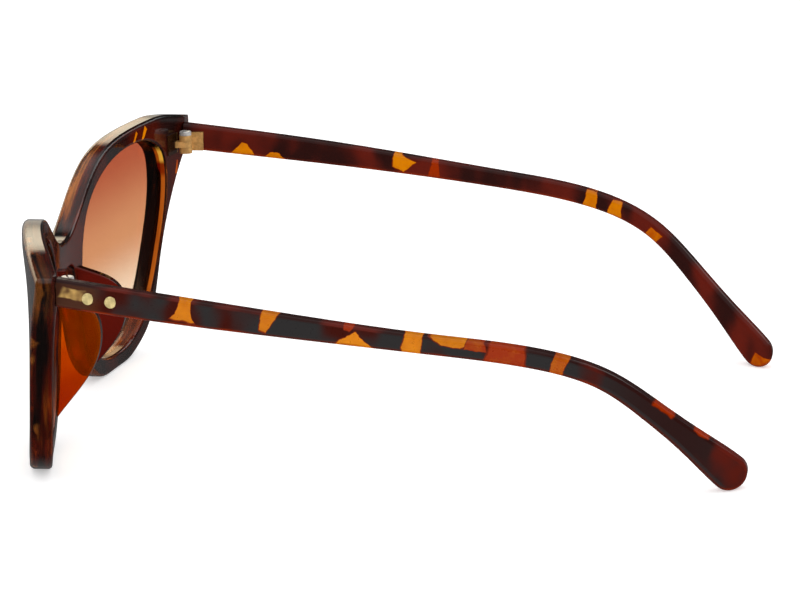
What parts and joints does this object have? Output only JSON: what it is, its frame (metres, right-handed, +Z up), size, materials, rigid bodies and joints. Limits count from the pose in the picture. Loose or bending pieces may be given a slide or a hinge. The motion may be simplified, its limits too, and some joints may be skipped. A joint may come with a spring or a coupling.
{
  "type": "cat eye sunglasses",
  "caption": "Cat eye sunglasses with an upswept acetate front, graduated tinted lenses, fin nose pads and folding curved temples on knuckle hinges.",
  "frame": {"origin": "centre of the footprint of the open glasses, on the table they stand on", "axes": "+Z up, +X towards the wearer's left, -Y the way the wearer looks"},
  "size_m": [0.1452, 0.1368, 0.0464],
  "materials": {
    "front_acetate": "polished tortoiseshell, near-black brown with amber patches",
    "temple_acetate": "polished tortoiseshell, near-black brown with amber patches",
    "pad_acetate": "polished, translucent orange-brown",
    "lens_tint": "clear plastic lens, tint graduated from red-brown at the top to pale beige at the bottom",
    "hinge_metal": "gold plated",
    "rivet_metal": "polished, flush with the plastic",
    "screw_metal": "bright"
  },
  "bodies": {
    "front": {"front_frame": "front_acetate", "lens_left": "lens_tint", "nose_pad_left": "pad_acetate", "front_hinge_left": "hinge_metal", "lens_right": "lens_tint", "nose_pad_right": "pad_acetate", "front_hinge_right": "hinge_metal"},
    "left_temple": {"temple_left": "temple_acetate", "temple_hinge_left": "hinge_metal", "hinge_screw_left": "screw_metal", "temple_rivet_front_left": "rivet_metal", "temple_rivet_rear_left": "rivet_metal"},
    "right_temple": {"temple_right": "temple_acetate", "temple_hinge_right": "hinge_metal", "hinge_screw_right": "screw_metal", "temple_rivet_front_right": "rivet_metal", "temple_rivet_rear_right": "rivet_metal"}
  },
  "joints": [
    {"name": "left_temple_fold", "type": "hinge", "parent": "front", "child": "left_temple", "pos_m": [0.0628, -0.0518, 0.0397], "axis": [0, 0, 1], "range_deg": [0, 80]},
    {"name": "right_temple_fold", "type": "hinge", "parent": "front", "child": "right_temple", "pos_m": [-0.0628, -0.0518, 0.0397], "axis": [0, 0, -1], "range_deg": [0, 73]}
  ]
}
